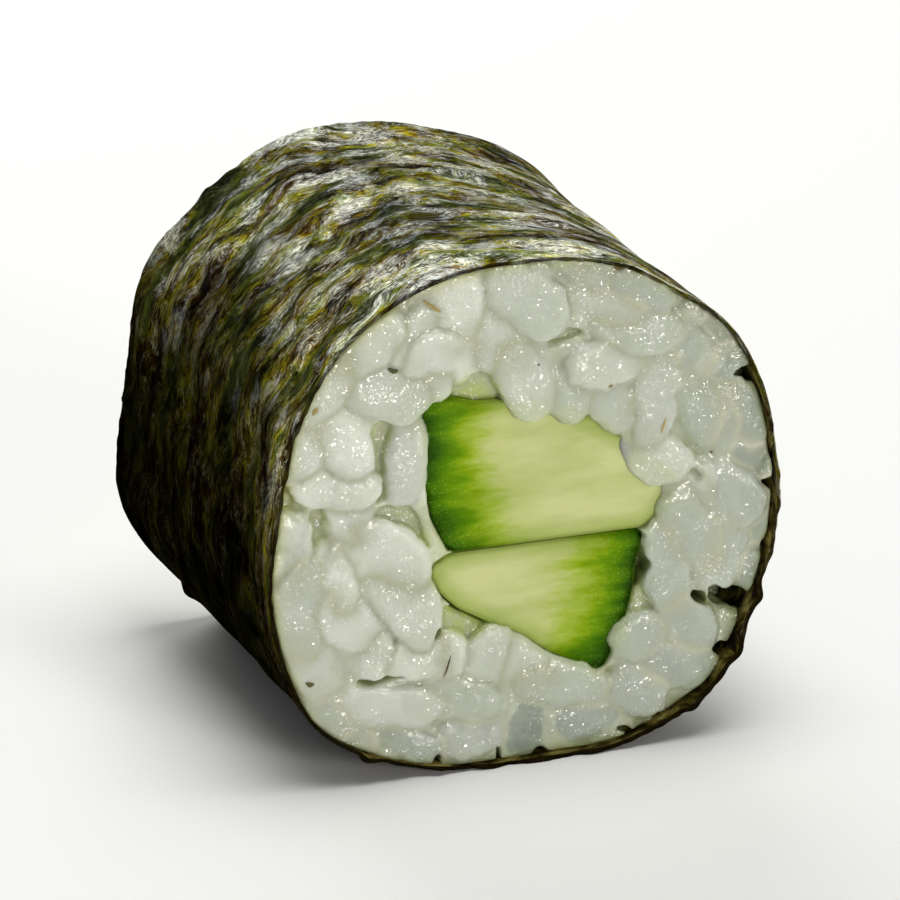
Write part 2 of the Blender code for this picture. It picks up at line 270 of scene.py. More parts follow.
def lumps(axes, cells, rng):
    """A smooth random field on a grid, about -1 to 1, with lumps as wide as the cells."""
    weights = [lattice_weights(a, c) for a, c in zip(axes, cells)]
    field = rng.uniform(-1, 1, [w.shape[1] for w in weights])
    for k, w in enumerate(weights):
        field = np.moveaxis(np.tensordot(w, field, axes=(1, k)), 0, k)
    return field * 1.9


def zero_surface(field, axes):
    """Points and quads of the surface where a field on a grid is zero, outside positive.

    Each grid cell that the surface crosses gets one point, the mean of the crossings on
    its edges, and each crossed edge gets one quad that joins its four cells.
    """
    shape = np.array(field.shape)
    cells = shape - 1
    inside = field < 0
    sums, hits, quads = np.zeros((np.prod(cells), 3)), np.zeros(np.prod(cells)), []
    for a in range(3):
        b, c = (a + 1) % 3, (a + 2) % 3
        low = tuple(slice(None, -1) if k == a else slice(None) for k in range(3))
        high = tuple(slice(1, None) if k == a else slice(None) for k in range(3))
        at = np.argwhere(inside[low] != inside[high])
        at = at[(at[:, b] > 0) & (at[:, c] > 0) & (at[:, b] < cells[b]) & (at[:, c] < cells[c])]
        here, there = field[low][tuple(at.T)], field[high][tuple(at.T)]
        point = at.astype(float)
        point[:, a] += here / (here - there)
        ring = []
        for db, dc in ((0, 0), (-1, 0), (-1, -1), (0, -1)):
            cell = at.copy()
            cell[:, b] += db
            cell[:, c] += dc
            ring.append(np.ravel_multi_index(cell.T, cells))
            hits += np.bincount(ring[-1], minlength=len(hits))
            for k in range(3):
                sums[:, k] += np.bincount(ring[-1], point[:, k], minlength=len(hits))
        ring = np.stack(ring, axis=1)
        quads.append(np.where((here < 0)[:, None], ring, ring[:, ::-1]))
    used = hits > 0
    index = np.cumsum(used) - 1
    point = sums[used] / hits[used, None]
    place = [np.interp(point[:, k], np.arange(shape[k]), axes[k]) for k in range(3)]
    return np.column_stack(place), index[np.vstack(quads)]


def sample(field, axes, points):
    """Values of a grid's field at points, by straight blending in each direction."""
    at = [np.clip(np.interp(points[:, k], axes[k], np.arange(len(axes[k]))), 0, len(axes[k]) - 1.001)
          for k in range(3)]
    low = [a.astype(int) for a in at]
    share = [a - l for a, l in zip(at, low)]
    total = 0.0
    for corner in np.ndindex(2, 2, 2):
        weight = 1.0
        for k in range(3):
            weight = weight * (share[k] if corner[k] else 1 - share[k])
        total = total + weight * field[tuple(low[k] + corner[k] for k in range(3))]
    return total


# --- meshes -------------------------------------------------------------------
def make_piece(name, points, faces, material, attributes=None, uv=None):
    """A smooth mesh object from points in millimetres and quads or triangles.

    Attributes are one number per point. uv holds one (u, v) per point.
    """
    mesh = bpy.data.meshes.new(name)
    faces = np.asarray(faces)
    mesh.vertices.add(len(points))
    mesh.vertices.foreach_set("co", (np.asarray(points) * MM).astype(np.float32).ravel())
    mesh.loops.add(faces.size)
    mesh.loops.foreach_set("vertex_index", faces.astype(np.int32).ravel())
    mesh.polygons.add(len(faces))
    mesh.polygons.foreach_set("loop_start", np.arange(0, faces.size, faces.shape[1], dtype=np.int32))
    mesh.update(calc_edges=True)
    mesh.validate()
    mesh.materials.append(material)
    for key, values in (attributes or {}).items():
        layer = mesh.attributes.new(key, "FLOAT", "POINT")
        layer.data.foreach_set("value", np.asarray(values, np.float32))
    if uv is not None:
        layer = mesh.uv_layers.new(name="wrap")
        corner = np.empty(len(mesh.loops), np.int32)
        mesh.loops.foreach_get("vertex_index", corner)
        layer.data.foreach_set("uv", np.asarray(uv, np.float32)[corner].ravel())
    mesh.shade_smooth()
    piece = bpy.data.objects.new(name, mesh)
    bpy.context.scene.collection.objects.link(piece)
    return piece


def settle(piece, node):
    """Puts a piece on the roll's body and hides the CAD node that it stands for."""
    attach(piece, "root")
    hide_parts(node)
    return piece


# --- materials ----------------------------------------------------------------
def add(tree, kind, inputs=None, stops=None, **settings):
    """Adds a node. inputs maps a socket's name or number to a value, another node or one of
    its outputs, stops are a ramp's (place, colour), and settings are the node's own."""
    node = tree.nodes.new("ShaderNode" + kind)
    for key, value in settings.items():
        setattr(node, key, value)
    for key, value in (inputs or {}).items():
        socket = node.inputs[key]
        if isinstance(value, bpy.types.Node):
            value = value.outputs[0]
        if isinstance(value, bpy.types.NodeSocket):
            tree.links.new(value, socket)
        else:
            socket.default_value = value
    if stops:
        spare = node.color_ramp.elements
        while len(spare) < len(stops):
            spare.new(1.0)
        for element, (place, colour) in zip(spare, stops):
            element.position = place
            element.color = linear(colour) if isinstance(colour, str) else (colour,) * 3 + (1.0,)
    return node


def new_material(name):
    """An empty material with a Principled shader, as (material, tree, shader)."""
    material = bpy.data.materials.new(name)
    material.use_nodes = True
    tree = material.node_tree
    return material, tree, tree.nodes["Principled BSDF"]


def cooked_rice():
    """Cooked short-grain rice: milky, wet and a little sticky. Light goes in deep, grains
    at the nori are glassy, and the film of starchy water throws glints from the coat.
    Painted into its colour are shade in hollows, near the nori, where grains meet and on
    the right, green light from the cucumber, pale rims on glassy grains and white glints."""
    material, tree, shader = new_material("cooked_rice")
    place = add(tree, "TexCoord").outputs["Object"]
    mm = add(tree, "VectorMath", {0: place, "Scale": 1 / MM}, operation="SCALE").outputs[0]
    clear = add(tree, "Attribute", attribute_name="clear").outputs["Fac"]
    sink = add(tree, "Attribute", attribute_name="sink").outputs["Fac"]
    tone = add(tree, "Attribute", attribute_name="tone").outputs["Fac"]
    crease = add(tree, "Attribute", attribute_name="crease").outputs["Fac"]
    green = add(tree, "Attribute", attribute_name="green").outputs["Fac"]
    cloud = add(tree, "TexNoise", {"Vector": mm, "Scale": 0.8, "Detail": 3.0}).outputs["Fac"]
    # The tone and clear attributes also carry painted shade on the right and lower part of the front face.
    milk = add(tree, "ValToRGB", {"Fac": tone}, stops=[(0.0, "C6CCBD"), (0.5, "D7DBCD"), (1.0, "E5E8DC")])
    glass = add(tree, "ValToRGB", {"Fac": cloud}, stops=[(0.3, "76807A"), (0.7, "9AA49C")])
    mixed = add(tree, "MixRGB", {"Fac": clear, "Color1": milk.outputs[0], "Color2": glass.outputs[0]})
    # Painted shade: the colour turns a darker olive deeper behind the cut and close to the nori, as the sink
    # attribute says.
    deep = add(tree, "ValToRGB", {"Fac": sink}, stops=[
        (0.0, "FFFFFF"), (0.25, "F0F3CC"), (0.5, "E2E5A6"), (1.0, "C4C48A")])
    recess_shaded = add(tree, "MixRGB", {"Fac": 1.0, "Color1": mixed.outputs[0], "Color2": deep.outputs[0]},
                 blend_type="MULTIPLY")
    # Painted green light from the cucumber on the rice beside the sticks, as the green attribute says.
    green_tinge = add(tree, "MixRGB", {"Fac": green, "Color1": recess_shaded.outputs[0], "Color2": linear("B9C66C")})
    # Painted shade where grains meet: a soft darker halo and thin dark seams.
    meeting = add(tree, "Math", {0: crease, 1: 3.5}, operation="POWER")
    edge = add(tree, "Math", {0: meeting, 1: clear}, operation="MULTIPLY").outputs[0]
    seam_shade = add(tree, "Math", {0: meeting, 1: 0.75}, operation="MULTIPLY").outputs[0]
    crease_shade = add(tree, "Math", {0: crease, 1: 0.5}, operation="MULTIPLY")
    shade_halo = add(tree, "MixRGB", {"Fac": crease_shade, "Color1": green_tinge, "Color2": linear("A8B09B")})
    seam_shaded = add(tree, "MixRGB", {"Fac": seam_shade, "Color1": shade_halo, "Color2": linear("B0B28A")})
    # Painted highlight: pale rims on the glassy grains.
    rim_lit = add(tree, "MixRGB", {"Fac": edge, "Color1": seam_shaded.outputs[0], "Color2": linear("E2E0CC")})
    patch = add(tree, "TexNoise", {"Vector": mm, "Scale": 0.5, "Detail": 4.0, "Roughness": 0.65}).outputs["Fac"]
    # Painted glints: white specks in the base colour, gathered in patches.
    glint_patches = add(tree, "MapRange", {0: patch, 1: 0.52, 2: 0.61, 3: 0.0, 4: 0.85}).outputs[0]
    glint_noise = add(tree, "TexNoise", {"Vector": mm, "Scale": 8.5, "Detail": 0.0}).outputs["Fac"]
    painted_glints = add(tree, "MapRange", {0: glint_noise, 1: 0.64, 2: 0.78}).outputs[0]
    glint_spots = add(tree, "Math", {0: painted_glints, 1: glint_patches}, operation="MULTIPLY").outputs[0]
    glinted = add(tree, "MixRGB", {"Fac": glint_spots, "Color1": rim_lit.outputs[0], "Color2": linear("FFFFFF")})
    tree.links.new(glinted.outputs[0], shader.inputs["Base Color"])
    shader.inputs["Roughness"].default_value = 0.3
    shader.inputs["IOR"].default_value = 1.4
    shader.inputs["Subsurface Weight"].default_value = 1.0
    shader.inputs["Subsurface Radius"].default_value = (1.0, 0.97, 0.8)
    shader.inputs["Subsurface Scale"].default_value = 0.8 * MM
    shader.inputs["Coat Weight"].default_value = 1.0
    shader.inputs["Coat Roughness"].default_value = 0.04
    shader.inputs["Coat IOR"].default_value = 1.6
    film = add(tree, "TexNoise", {"Vector": mm, "Scale": 2.2, "Detail": 4.0, "Roughness": 0.6}).outputs["Fac"]
    bead = add(tree, "TexNoise", {"Vector": mm, "Scale": 3.3, "Detail": 1.0}).outputs["Fac"]
    ripple = add(tree, "MapRange", {0: patch, 1: 0.42, 2: 0.58, 3: 0.5, 4: 1.0}).outputs[0]
    drop = add(tree, "Math", {0: bead, 1: ripple}, operation="MULTIPLY").outputs[0]
    soft = add(tree, "Bump", {"Height": film, "Strength": 0.7, "Distance": 0.12 * MM})
    skin = add(tree, "Bump", {"Height": film, "Strength": 0.3, "Distance": 0.1 * MM})
    bump = add(tree, "Bump", {"Height": drop, "Strength": 1.0, "Distance": 0.17 * MM, "Normal": skin})
    tree.links.new(bump.outputs[0], shader.inputs["Coat Normal"])
    tree.links.new(soft.outputs[0], shader.inputs["Normal"])
    return material


def fresh_cucumber():
    """Raw cucumber: pale wet flesh that turns yellow-green, then dark green, close to its
    waxy skin. Cut cells give its coat small glints, and light yellow-green dots in its
    colour are painted sparkle. It darkens at its outline, partly greener flesh, partly painted shade."""
    material, tree, shader = new_material("fresh_cucumber")
    place = add(tree, "TexCoord").outputs["Object"]
    mm = add(tree, "VectorMath", {0: place, "Scale": 1 / MM}, operation="SCALE").outputs[0]
    depth = add(tree, "Attribute", attribute_name="skin_depth").outputs["Fac"]
    edge = add(tree, "Attribute", attribute_name="edge_depth").outputs["Fac"]
    rays = add(tree, "VectorMath", {0: mm, 1: (0.35, 0.6, 1.3)}, operation="MULTIPLY").outputs[0]
    drift = add(tree, "TexNoise", {"Vector": rays, "Scale": 0.8, "Detail": 5.0, "Roughness": 0.65}).outputs["Fac"]
    shift = add(tree, "MapRange", {0: drift, 1: 0.3, 2: 0.7, 3: -0.9, 4: 0.9}).outputs[0]
    moved = add(tree, "Math", {0: depth, 1: shift}, operation="ADD").outputs[0]
    share = add(tree, "MapRange", {0: moved, 1: 0.0, 2: 6.0}).outputs[0]
    flesh = add(tree, "ValToRGB", {"Fac": share}, stops=[
        (0.0, "2E5600"), (0.12, "487800"), (0.26, "6A9600"), (0.37, "90AE14"),
        (0.50, "AEC24A"), (0.68, "CAD28A"), (1.0, "D6DC9E")])
    # Towards its outline the flesh is darker and greener: partly greener flesh at the edge, partly painted shade from
    # the rice that overhangs it.
    edge_green_and_shade = add(tree, "MapRange", {0: edge, 1: 0.0, 2: 1.0, 3: 0.75, 4: 0.0}).outputs[0]
    greened_and_shaded = add(tree, "MixRGB", {"Fac": edge_green_and_shade, "Color1": flesh.outputs[0], "Color2": linear("B4C860")},
                  blend_type="MULTIPLY")
    # Painted sparkle: light yellow-green dots, gathered in patches.
    sparkle_noise = add(tree, "TexNoise", {"Vector": mm, "Scale": 9.0, "Detail": 0.0}).outputs["Fac"]
    painted_sparkle = add(tree, "MapRange", {0: sparkle_noise, 1: 0.6, 2: 0.78, 3: 0.0, 4: 0.25}).outputs[0]
    green_tinge = add(tree, "TexNoise", {"Vector": rays, "Scale": 0.45, "Detail": 4.0}).outputs["Fac"]
    veins = add(tree, "MapRange", {0: green_tinge, 1: 0.42, 2: 0.66, 3: 0.0, 4: 0.45}).outputs[0]
    veined = add(tree, "MixRGB", {"Fac": veins, "Color1": greened_and_shaded, "Color2": linear("BFD08A")},
                 blend_type="MULTIPLY")
    gathered = add(tree, "MapRange", {0: drift, 1: 0.42, 2: 0.6, 3: 0.2, 4: 1.0})
    painted_sparkle = add(tree, "Math", {0: painted_sparkle, 1: gathered}, operation="MULTIPLY")
    sparkled = add(tree, "MixRGB", {"Fac": painted_sparkle, "Color1": veined, "Color2": linear("BEDC5C")})
    tree.links.new(sparkled.outputs[0], shader.inputs["Base Color"])
    shader.inputs["Roughness"].default_value = 0.4
    shader.inputs["IOR"].default_value = 1.3
    shader.inputs["Specular IOR Level"].default_value = 0.0
    shader.inputs["Subsurface Weight"].default_value = 0.5
    shader.inputs["Subsurface Radius"].default_value = (0.9, 1.0, 0.3)
    shader.inputs["Subsurface Scale"].default_value = 0.5 * MM
    shader.inputs["Coat Weight"].default_value = 0.12
    shader.inputs["Coat Roughness"].default_value = 0.04
    shader.inputs["Coat IOR"].default_value = 1.5
    cells = add(tree, "TexNoise", {"Vector": mm, "Scale": 5.5, "Detail": 1.0}).outputs["Fac"]
    bump = add(tree, "Bump", {"Height": cells, "Strength": 1.0, "Distance": 0.11 * MM})
    tree.links.new(bump.outputs[0], shader.inputs["Coat Normal"])
    return material


# Patterns in the nori's felt, each (per mm round the roll, per mm along it, shift, detail,
# roughness). Real fibres are 0.02 mm wide, too fine to show, so they are drawn 0.06 mm wide.
FELT = {
    "patch": (0.22, 0.42, 17.0, 5.0, 0.62), "bloom": (0.42, 0.8, 3.0, 6.0, 0.66),
    "grain": (1.8, 8.0, 47.0, 3.0, 0.7), "mat": (0.35, 0.6, 31.0, 6.0, 0.7),
    "granule": (3.2, 5.0, 139.0, 2.0, 0.6), "cast": (0.13, 0.22, 71.0, 3.0, 0.55),
    "fray": (1.0, 1.3, 151.0, 1.0, 0.5), "split": (0.9, 1.2, 173.0, 1.0, 0.5),
    "strand": (0.9, 4.4, 61.0, 1.0, 0.5), "fine strand": (1.2, 6.0, 83.0, 1.0, 0.5),
    "gap": (0.8, 3.8, 97.0, 2.0, 0.6), "fine gap": (1.2, 5.4, 119.0, 2.0, 0.6),
}


def toasted_nori():
    """Moist toasted nori: a felt of seaweed fibres pressed thin. Olive, gold and brown, with
    short pale fibres and grainy whitish mats that shine. Painted shade makes it green-black
    low on the roll, and a painted sheen greys the mats and fibres on the crown."""
    material, tree, shader = new_material("toasted_nori")
    sheet = add(tree, "UVMap", uv_map="wrap").outputs[0]
    along = add(tree, "SeparateXYZ", {0: sheet}).outputs["Y"]
    place = add(tree, "TexCoord").outputs["Object"]
    height = add(tree, "SeparateXYZ", {0: place}).outputs["Z"]
    inner = add(tree, "Attribute", attribute_name="inner").outputs["Fac"]
    bent = sheet
    for scale, detail, reach in ((0.2, 2.0, (3.0, 4.5, 0.0)), (0.9, 1.0, (0.3, 0.45, 0.0))):
        sway = add(tree, "TexNoise", {"Vector": sheet, "Scale": scale, "Detail": detail}).outputs["Color"]
        pull = add(tree, "VectorMath", {0: sway, 1: (0.5, 0.5, 0.5)}, operation="SUBTRACT")
        push = add(tree, "VectorMath", {0: pull, 1: reach}, operation="MULTIPLY")
        bent = add(tree, "VectorMath", {0: bent, 1: push}, operation="ADD").outputs[0]
    felt = {}
    for name, (around, lengthwise, shift, detail, roughness) in FELT.items():
        spread = add(tree, "Mapping", {"Vector": bent, "Location": (shift, 3 * shift, 0.0),
                                       "Scale": (around, lengthwise, 1.0)})
        felt[name] = add(tree, "TexNoise", {"Vector": spread, "Scale": 1.0, "Detail": detail,
                                            "Roughness": roughness})
    threads = {}
    for kind, breaks in (("strand", "fray"), ("gap", "split")):
        for name in (kind, "fine " + kind):
            level = add(tree, "Math", {0: felt[name], 1: 0.5}, operation="SUBTRACT")
            close = add(tree, "Math", {0: level}, operation="ABSOLUTE")
            threads[name] = add(tree, "MapRange", {0: close, 1: 0.0, 2: 0.03, 3: 1.3, 4: 0.0})
        both = add(tree, "Math", {0: threads[kind], 1: threads["fine " + kind]}, operation="MAXIMUM")
        short = add(tree, "MapRange", {0: felt[breaks], 1: 0.44, 2: 0.54})
        threads[kind] = add(tree, "Math", {0: both, 1: short}, operation="MULTIPLY")

    # How light the sheet is: painted shade makes it darkest low on the left and painted light makes it lightest on
    # top. It is also lighter beside the front cut, and lighter or darker in large blots.
    front = add(tree, "MapRange", {0: along, 1: FRONT_Y + 1.0, 2: FRONT_Y + 6.0, 3: 1.0, 4: 0.0})
    rise = add(tree, "VectorMath", {0: place, 1: (0.25, 0.0, 1.0)}, operation="DOT_PRODUCT").outputs["Value"]
    lift = add(tree, "Math", {0: front, 1: 5 * MM, 2: rise}, operation="MULTIPLY_ADD")
    share = add(tree, "MapRange", {0: lift, 1: -3.3 * MM, 2: 20.7 * MM})
    steep = add(tree, "Math", {0: share, 1: 4.0}, operation="POWER")
    lit = add(tree, "MapRange", {0: steep, 1: 0.0, 2: 1.0, 3: 0.045, 4: 1.1})
    uneven = add(tree, "MapRange", {0: felt["cast"], 1: 0.40, 2: 0.58, 3: 0.45, 4: 1.3})
    lit = add(tree, "Math", {0: lit, 1: uneven}, operation="MULTIPLY")
    brighter = add(tree, "Math", {0: front, 1: 0.7, 2: 1.0}, operation="MULTIPLY_ADD")
    lit = add(tree, "Math", {0: lit, 1: brighter}, operation="MULTIPLY")
    upper = add(tree, "MapRange", {0: lift, 1: 13 * MM, 2: 20 * MM})

    # Its ground colour, brightened and darkened in blots and along the fibres. The dark green
    # patches are smooth, with few fibres to be seen.
    lean = add(tree, "MapRange", {0: height, 1: 10 * MM, 2: 22 * MM, 3: -0.04, 4: 0.01})
    leaning = add(tree, "Math", {0: felt["patch"], 1: lean}, operation="ADD")
    ground = add(tree, "ValToRGB", {"Fac": leaning}, stops=[
        (0.34, "2A1A06"), (0.42, "4A380C"), (0.47, "6E6214"), (0.51, "7A741A"),
        (0.56, "5E661E"), (0.62, "48511E"), (0.70, "2E391A")])
    blots = add(tree, "MapRange", {0: felt["bloom"], 1: 0.38, 2: 0.64, 3: 0.1, 4: 2.0})
    blotted = add(tree, "MixRGB", {"Fac": 1.0, "Color1": ground, "Color2": blots}, blend_type="MULTIPLY")
    streaks = add(tree, "MapRange", {0: felt["grain"], 1: 0.37, 2: 0.63, 3: 0.12, 4: 1.9})
    combing = add(tree, "MapRange", {0: felt["patch"], 1: 0.50, 2: 0.59, 3: 1.0, 4: 0.3})
    streaked = add(tree, "MixRGB", {"Fac": combing, "Color1": blotted, "Color2": streaks}, blend_type="MULTIPLY")

    # Grainy whitish mats, partly the nori's own pale mats and partly a painted sheen: they are kept to the upper part
    # and gathered on the crown. Some have a blue cast, which is a painted reflection.
    crown_mats_sheen = add(tree, "MapRange", {0: height, 1: 21 * MM, 2: 26 * MM, 3: 0.0, 4: 0.04})
    raised = add(tree, "Math", {0: felt["mat"], 1: crown_mats_sheen}, operation="ADD")
    massed = add(tree, "MapRange", {0: felt["cast"], 1: 0.38, 2: 0.60, 3: -0.05, 4: 0.04})
    raised = add(tree, "Math", {0: raised, 1: massed}, operation="ADD")
    mats = add(tree, "MapRange", {0: raised, 1: 0.54, 2: 0.61})
    mats = add(tree, "Math", {0: mats, 1: upper}, operation="MULTIPLY")
    grains = add(tree, "MapRange", {0: felt["granule"], 1: 0.44, 2: 0.56, 3: 0.05, 4: 1.0})
    grainy = add(tree, "Math", {0: mats, 1: grains}, operation="MULTIPLY")
    pale = add(tree, "ValToRGB", {"Fac": felt["cast"]}, stops=[
        (0.40, "AEC0CC"), (0.48, "DCE3D0"), (0.60, "E2E2C4")])
    matted = add(tree, "MixRGB", {"Fac": grainy, "Color1": streaked, "Color2": pale})

    # Short pale fibres over all of it, greyer on the crown as a painted sheen, and dark gaps between them, which are
    # painted shade.
    seen = add(tree, "MapRange", {0: felt["bloom"], 1: 0.40, 2: 0.54, 3: 0.1, 4: 0.9})
    seen = add(tree, "Math", {0: front, 1: 0.5, 2: seen}, operation="MULTIPLY_ADD", use_clamp=True)
    loose = add(tree, "Math", {0: threads["strand"], 1: combing}, operation="MULTIPLY")
    shown = add(tree, "Math", {0: loose, 1: seen}, operation="MULTIPLY")
    crown_sheen = add(tree, "MapRange", {0: height, 1: 21 * MM, 2: 26 * MM})
    fibre = add(tree, "ValToRGB", {"Fac": crown_sheen}, stops=[(0.0, "D8D5A4"), (1.0, "DCE2DC")])
    combed = add(tree, "MixRGB", {"Fac": shown, "Color1": matted, "Color2": fibre})
    gap_shade = add(tree, "Math", {0: threads["gap"], 1: 0.8}, operation="MULTIPLY")
    gap_shaded = add(tree, "MixRGB", {"Fac": gap_shade, "Color1": combed, "Color2": linear("100D06")})
    shaded = add(tree, "MixRGB", {"Fac": 1.0, "Color1": gap_shaded, "Color2": lit}, blend_type="MULTIPLY")

    # The cut edge is nearly black, and the inner side is a plain brown-green.
    off = add(tree, "Math", {0: along, 1: FRONT_Y - 0.12}, operation="SUBTRACT")
    off = add(tree, "Math", {0: off}, operation="ABSOLUTE")
    brink = add(tree, "MapRange", {0: off, 1: 0.12, 2: 0.3, 3: 0.85, 4: 0.0})
    edged = add(tree, "MixRGB", {"Fac": brink, "Color1": shaded, "Color2": linear("211A0B")})
    clear = add(tree, "MapRange", {0: brink, 1: 0.0, 2: 0.6, 3: 1.0, 4: 0.0})
    bare = add(tree, "Math", {0: inner, 1: clear}, operation="MULTIPLY")
    husk = add(tree, "ValToRGB", {"Fac": felt["bloom"]}, stops=[(0.42, "17140A"), (0.50, "4E471C"), (0.60, "94884A")])
    lined = add(tree, "MixRGB", {"Fac": bare, "Color1": edged, "Color2": husk})
    tree.links.new(lined.outputs[0], shader.inputs["Base Color"])
    shader.inputs["Roughness"].default_value = 0.7
    shader.inputs["Specular IOR Level"].default_value = 0.0
    shader.inputs["Coat Roughness"].default_value = 0.14
    shader.inputs["Coat IOR"].default_value = 1.5
    silk = add(tree, "MapRange", {0: raised, 1: 0.52, 2: 0.60, 3: 0.02, 4: 1.0})
    gloss = add(tree, "Math", {0: silk, 1: upper}, operation="MULTIPLY")
    tree.links.new(gloss.outputs[0], shader.inputs["Coat Weight"])
    coarse = add(tree, "Bump", {"Height": felt["mat"], "Strength": 0.6, "Distance": 0.45 * MM})
    proud = add(tree, "Math", {0: threads["strand"], 1: 0.35, 2: felt["grain"]}, operation="MULTIPLY_ADD")
    relief = add(tree, "Math", {0: threads["gap"], 1: -0.35, 2: proud}, operation="MULTIPLY_ADD")
    bump = add(tree, "Bump", {"Height": relief, "Strength": 0.9, "Distance": 0.16 * MM, "Normal": coarse})
    tree.links.new(bump.outputs[0], shader.inputs["Normal"])
    tree.links.new(bump.outputs[0], shader.inputs["Coat Normal"])
    return material


def dried_scrap():
    """Scraps of dried seaweed and rice bran, matt and soaked: green, brown or tan."""
    material, tree, shader = new_material("dried_scrap")
    tint = add(tree, "Attribute", attribute_name="tint").outputs["Fac"]
    colour = add(tree, "ValToRGB", {"Fac": tint}, stops=[
        (0.0, "3E4A16"), (0.3, "55501E"), (0.5, "4A3A22"), (0.75, "9C8A44"), (1.0, "CDB87C")])
    tree.links.new(colour.outputs[0], shader.inputs["Base Color"])
    shader.inputs["Roughness"].default_value = 0.5
    return material


# --- nori wrap ----------------------------------------------------------------
def make_nori(material):
    """The nori: outer skin run from front to back, then the inner skin back to the front.

    A point is at the wrap's radius for its angle and place along Y, less the thickness on
    the inner skin, plus lumps: broad dents, long ridges round the roll and small blisters.
    """
    rng = np.random.default_rng(SEED)
    angle = np.arange(NORI_AROUND) * 2 * np.pi / NORI_AROUND - np.pi / 2
    share_out = np.linspace(0, 1, NORI_LENGTHWISE)
    share_in = np.linspace(1, 0, NORI_INNER_LENGTHWISE)
    share = np.concatenate((share_out, share_in))
    skin = np.concatenate((np.zeros(NORI_LENGTHWISE), np.ones(NORI_INNER_LENGTHWISE)))
    turn = np.concatenate((angle - 2 * np.pi, angle, angle + 2 * np.pi)) * 13.2
    length = share_out * (BACK_Y - FRONT_Y)

    def wrapped(cell_around, cell_along):
        field = lumps((length, turn), (cell_along, cell_around), rng)
        field = field.reshape(len(length), 3, NORI_AROUND)
        blend = np.linspace(0, 1, NORI_AROUND)[None, :]
        return field[:, 1] * blend + field[:, 2] * (1 - blend)

    relief = (0.14 * wrapped(6.0, 4.0) + 0.10 * wrapped(3.2, 2.2) + 0.03 * wrapped(3.0, 1.0)
              + 0.025 * wrapped(1.1, 0.8))
    foot = np.clip(np.abs(np.mod(angle + np.pi / 2 + np.pi, 2 * np.pi) - np.pi) / 0.35, 0, 1)
    relief = np.minimum(relief, 0.12) * (0.15 + 0.85 * foot)
    for lump_angle, lump_y, height, reach in NORI_LUMPS:
        around = np.angle(np.exp(1j * (angle - np.radians(lump_angle)))) * 13.2
        off = np.hypot(around[None, :], (length + FRONT_Y - lump_y)[:, None])
        relief = relief + height * np.exp(-(off / reach)**2)
    relief_in = relief[::-1][np.linspace(0, NORI_LENGTHWISE - 1, NORI_INNER_LENGTHWISE).astype(int)]
    y = FRONT_Y + (BACK_Y - FRONT_Y) * share[:, None] + 0 * angle
    ragged = 0.12 * lumps((np.arange(3.0), turn), (1.0, 0.9), rng)[1].reshape(3, -1)[1]
    ragged += 0.10 * lumps((np.arange(3.0), turn), (1.0, 0.3), rng)[1].reshape(3, -1)[1]
    front = np.clip(1 - share / 0.08, 0, 1)[:, None]
    y = y + (0.12 + np.clip(ragged, -0.12, 0.4)) * front
    back = np.clip((share - 0.92) / 0.08, 0, 1)[:, None]
    y = y - (0.12 + np.clip(np.roll(ragged, 200), -0.12, 0.4)) * back
    thick = skin[:, None] * sheet_thickness(angle)
    radius = wrap_radius(angle[None, :], y) + np.vstack((relief, relief_in)) - thick
    x = HEART[0] + radius * np.cos(angle)
    z = np.maximum(HEART[1] + radius * np.sin(angle), thick)
    points = np.stack((x, y, z), axis=-1).reshape(-1, 3)
    rows = len(share)
    i, j = np.meshgrid(np.arange(rows), np.arange(NORI_AROUND), indexing="ij")
    down, right = (i + 1) % rows, (j + 1) % NORI_AROUND
    quads = np.stack((i * NORI_AROUND + j, i * NORI_AROUND + right,
                      down * NORI_AROUND + right, down * NORI_AROUND + j), axis=-1).reshape(-1, 4)
    path = y + skin[:, None] * (2 * (FRONT_Y - y) - sheet_thickness(angle))
    uv = np.stack((np.broadcast_to(angle * 13.2, y.shape), path), axis=-1).reshape(-1, 2)
    inner = np.broadcast_to(skin[:, None], y.shape).ravel()
    return make_piece("nori_sheet", points, quads, material, {"inner": inner}, uv)


# --- rice ---------------------------------------------------------------------
def random_grains(pitch, sink, rng, length=4.6, width=2.5):
    """Grains on a jittered hexagonal grid over the whole section, turned at random."""
    rows = np.arange(0, 28, pitch * 0.87)
    spots = np.array([(x + 0.5 * pitch * (j % 2), z) for j, z in enumerate(rows)
                      for x in np.arange(-15, 16, pitch)])
    count = len(spots)
    spots = spots + rng.uniform(-0.25, 0.25, (count, 2)) * pitch
    return np.column_stack((
        spots, rng.uniform(0.85, 1.15, count) * length, rng.uniform(0.85, 1.15, count) * width,
        rng.uniform(0, 180, count), rng.uniform(*sink, count), rng.uniform(0, 1, count) ** 3))


def melt(a, b, reach):
    """The smaller of two fields, run together smoothly where they differ by less than reach."""
    h = np.clip(1 - np.abs(a - b) / reach, 0, 1)
    return np.minimum(a, b) - h * h * reach / 4


